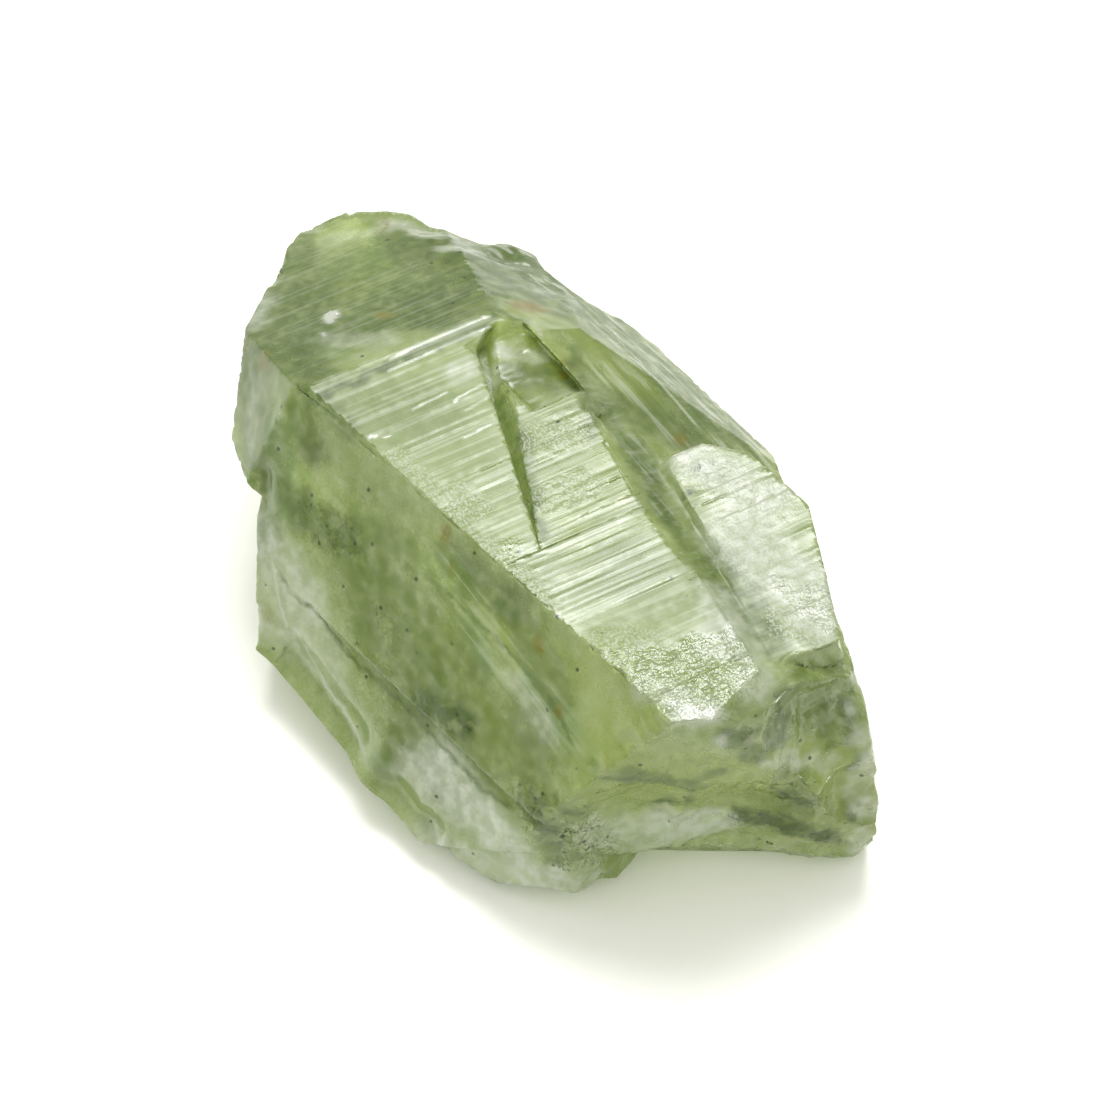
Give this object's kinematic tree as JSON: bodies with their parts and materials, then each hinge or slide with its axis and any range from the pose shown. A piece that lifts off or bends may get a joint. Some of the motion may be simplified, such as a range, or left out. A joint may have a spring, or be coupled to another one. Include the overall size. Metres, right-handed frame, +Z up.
{
  "type": "green amethyst crystal",
  "caption": "Rough green amethyst: a clear pale green quartz crystal with striated faces, a blunt point and a fractured end, lying flat as a specimen to display.",
  "frame": {"origin": "centre of the bounding box, on the plane of the flat face it rests on", "axes": "+X from the broken end to the point, +Y toward the large smooth left prism face, +Z up from the resting face to the striated top face"},
  "size_m": [0.0426, 0.026, 0.015],
  "materials": {
    "green_quartz": "clear to cloudy pale green quartz, glossy on broken faces, finely striated on the flat growth faces, with darker green patches and small ochre iron stains"
  },
  "bodies": {
    "root": {"crystal": "green_quartz"}
  },
  "joints": []
}
